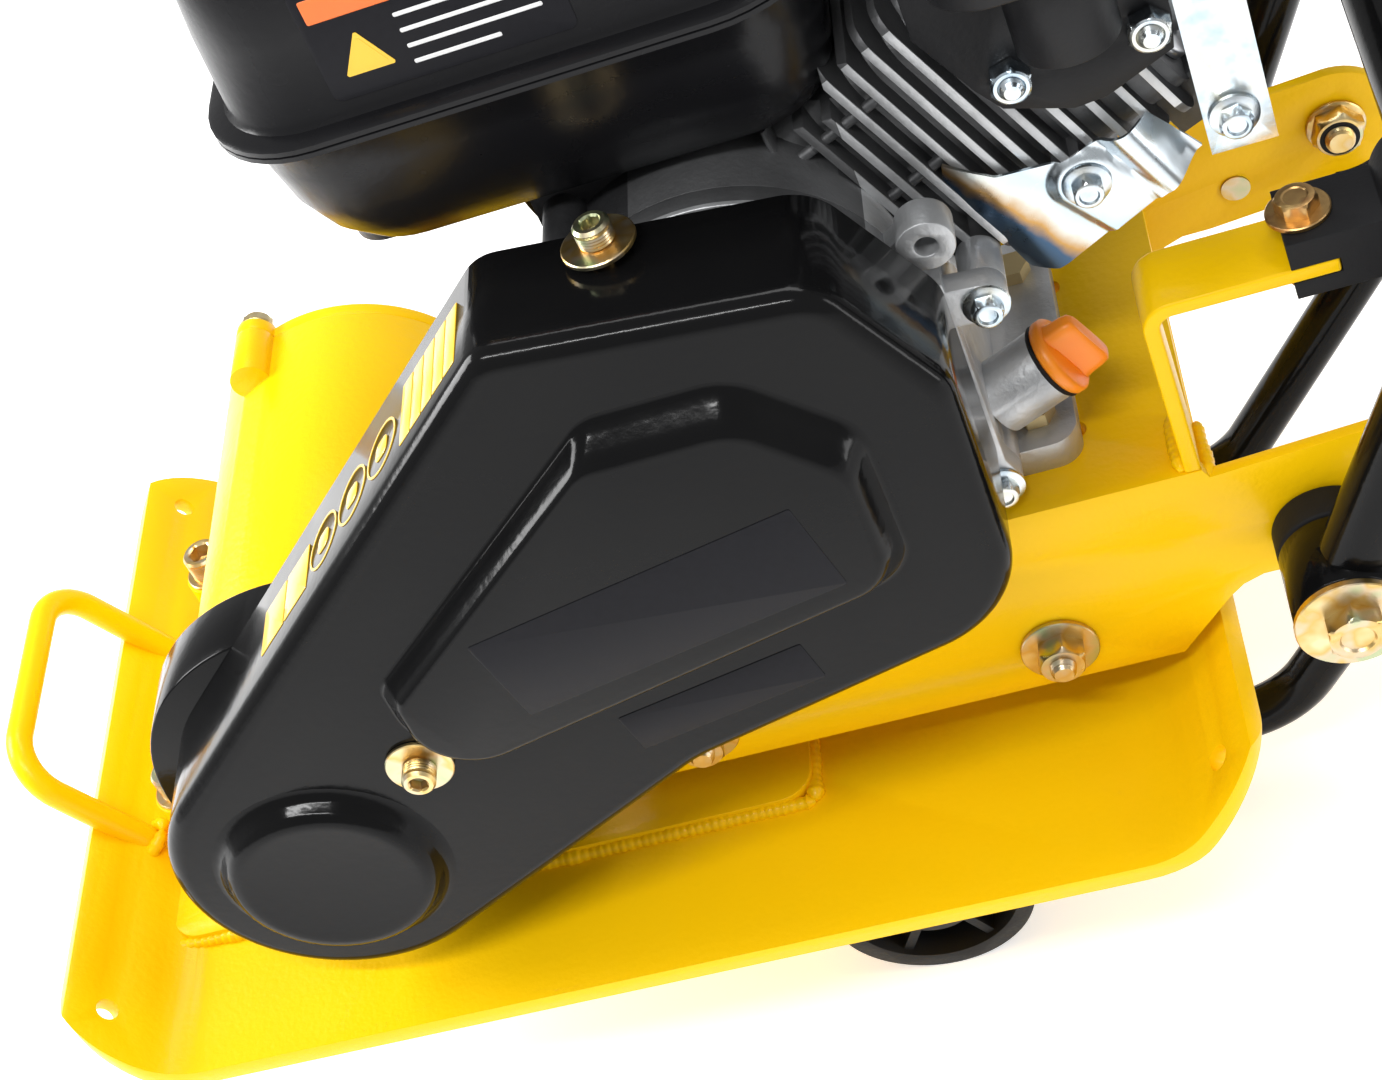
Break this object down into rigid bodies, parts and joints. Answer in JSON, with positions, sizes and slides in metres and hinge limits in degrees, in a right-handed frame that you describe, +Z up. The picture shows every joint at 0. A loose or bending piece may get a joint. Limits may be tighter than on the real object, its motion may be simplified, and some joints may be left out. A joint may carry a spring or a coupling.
{
  "type": "plate compactor",
  "caption": "Walk-behind vibrating plate compactor: lipped sole plate, belt-driven exciter, petrol engine on a sprung bed, pivoting handle and a swing-out wheel kit.",
  "frame": {"origin": "middle of the overall length and width, on the ground under the transport wheels", "axes": "+Z up, -X towards the front lip and the lifting bar, +X towards the handle, -Y towards the belt guard"},
  "size_m": [0.9413, 0.35, 0.94],
  "materials": {
    "yellow_paint": "gloss powder coat",
    "black_paint": "gloss powder coat",
    "tank_paint": "semi-gloss enamel",
    "casting": "as cast, satin",
    "steel": "machined",
    "passivated": "yellow passivated zinc",
    "bright_zinc": "bright zinc plate",
    "rubber": "moulded",
    "black_plastic": "moulded",
    "orange_plastic": "moulded",
    "red_plastic": "moulded",
    "cream_plastic": "moulded"
  },
  "bodies": {
    "root": {"base_plate": "yellow_paint", "exciter_pad": "yellow_paint", "lifting_bar": "yellow_paint", "exciter_housing": "yellow_paint", "exciter_end_cover": "yellow_paint", "exciter_bearings": "steel", "exciter_seal": "rubber", "exciter_screws": "passivated", "cover_bolts": "passivated", "engine_bed": "yellow_paint", "mount_lugs": "yellow_paint", "rubber_mounts": "rubber", "mount_nuts": "passivated", "stop_strap": "yellow_paint", "stop_block": "rubber", "stop_block_bolt": "passivated", "engine_bolts": "passivated", "engine_block": "casting", "side_cover": "casting", "flange_bolts": "bright_zinc", "cylinder_head": "casting", "rocker_cover": "steel", "exhaust_elbow": "black_paint", "exhaust_nuts": "bright_zinc", "muffler": "black_paint", "air_shield": "bright_zinc", "upright_bracket": "bright_zinc", "fan_housing": "black_paint", "recoil_cover": "black_paint", "fuel_tank": "tank_paint", "carburettor": "casting", "air_cleaner_base": "black_plastic", "air_cleaner_cover": "black_plastic", "belt_guard": "black_paint", "guard_back_plate": "black_paint", "guard_screws": "passivated", "drive_belt": "rubber", "handle_bushes": "rubber", "pivot_bolts": "passivated"},
    "exciter": {"exciter_shaft": "steel", "exciter_pulley": "casting"},
    "crank": {"crankshaft": "steel", "flywheel": "casting", "clutch_hub": "steel"},
    "clutch_drum": {"clutch_drum": "casting"},
    "piston": {"piston": "steel"},
    "wheel_frame": {"wheel_frame": "black_paint", "wheel_axle": "steel", "hub_bushes": "cream_plastic"},
    "wheel_near": {"wheel_near": "black_plastic"},
    "wheel_far": {"wheel_far": "black_plastic"},
    "handle": {"handle_frame": "black_paint", "handle_grip": "rubber"},
    "throttle": {"throttle_lever": "black_plastic"},
    "fuel_cap": {"fuel_cap": "black_plastic"},
    "oil_cap": {"oil_cap": "orange_plastic"},
    "starter": {"starter_grip": "rubber"},
    "choke": {"choke_lever": "black_plastic"},
    "fuel_cock": {"fuel_cock_lever": "red_plastic"},
    "switch": {"engine_switch": "red_plastic"}
  },
  "joints": [
    {"name": "exciter_spin", "type": "hinge", "parent": "root", "child": "exciter", "pos_m": [-0.29892, 0, 0.179], "axis": [0, 1, 0], "continuous": true},
    {"name": "clutch_drum_spin", "type": "hinge", "parent": "root", "child": "clutch_drum", "pos_m": [-0.08492, 0, 0.322], "axis": [0, 1, 0], "continuous": true},
    {"name": "crank_spin", "type": "hinge", "parent": "root", "child": "crank", "pos_m": [-0.08492, 0, 0.322], "axis": [0, 1, 0], "continuous": true},
    {"name": "piston_slide", "type": "slide", "parent": "root", "child": "piston", "axis": [0.9063, 0, 0.4226], "range_m": [-0.02, 0.02]},
    {"name": "wheel_frame_swing", "type": "hinge", "parent": "root", "child": "wheel_frame", "pos_m": [0.13408, 0, 0.192], "axis": [0, -1, 0], "range_deg": [0, 165]},
    {"name": "near_wheel_spin", "type": "hinge", "parent": "wheel_frame", "child": "wheel_near", "pos_m": [-0.09692, 0, 0.042], "axis": [0, 1, 0], "continuous": true},
    {"name": "far_wheel_spin", "type": "hinge", "parent": "wheel_frame", "child": "wheel_far", "pos_m": [-0.09692, 0, 0.042], "axis": [0, 1, 0], "continuous": true},
    {"name": "handle_fold", "type": "hinge", "parent": "root", "child": "handle", "pos_m": [0.09008, 0, 0.174], "axis": [0, 1, 0], "range_deg": [0, 30]},
    {"name": "throttle_turn", "type": "hinge", "parent": "handle", "child": "throttle", "pos_m": [0.45442, 0, 0.921], "axis": [0, 1, 0], "range_deg": [-30, 25]},
    {"name": "fuel_cap_turn", "type": "hinge", "parent": "root", "child": "fuel_cap", "pos_m": [-0.12992, 0.02, 0.548], "axis": [0, 0, 1], "range_deg": [0, 90]},
    {"name": "oil_cap_turn", "type": "hinge", "parent": "root", "child": "oil_cap", "pos_m": [-0.00992, -0.072, 0.248], "axis": [0.9063, 0, 0.4226], "continuous": true},
    {"name": "starter_pull", "type": "slide", "parent": "root", "child": "starter", "axis": [0, 0, 1], "range_m": [0, 0.4], "stiffness_N_per_m": 30, "springref_m": -0.15},
    {"name": "choke_turn", "type": "hinge", "parent": "root", "child": "choke", "pos_m": [0.01808, 0.063, 0.386], "axis": [0, 1, 0], "range_deg": [0, 50]},
    {"name": "fuel_cock_turn", "type": "hinge", "parent": "root", "child": "fuel_cock", "pos_m": [0.06208, 0.063, 0.378], "axis": [0, 1, 0], "range_deg": [0, 60]},
    {"name": "switch_turn", "type": "hinge", "parent": "root", "child": "switch", "pos_m": [-0.16392, 0.134, 0.348], "axis": [0, 1, 0], "range_deg": [0, 60]}
  ],
  "couplings": [
    {"joint": "clutch_drum_spin", "follows": "exciter_spin", "ratio": 0.66667}
  ]
}
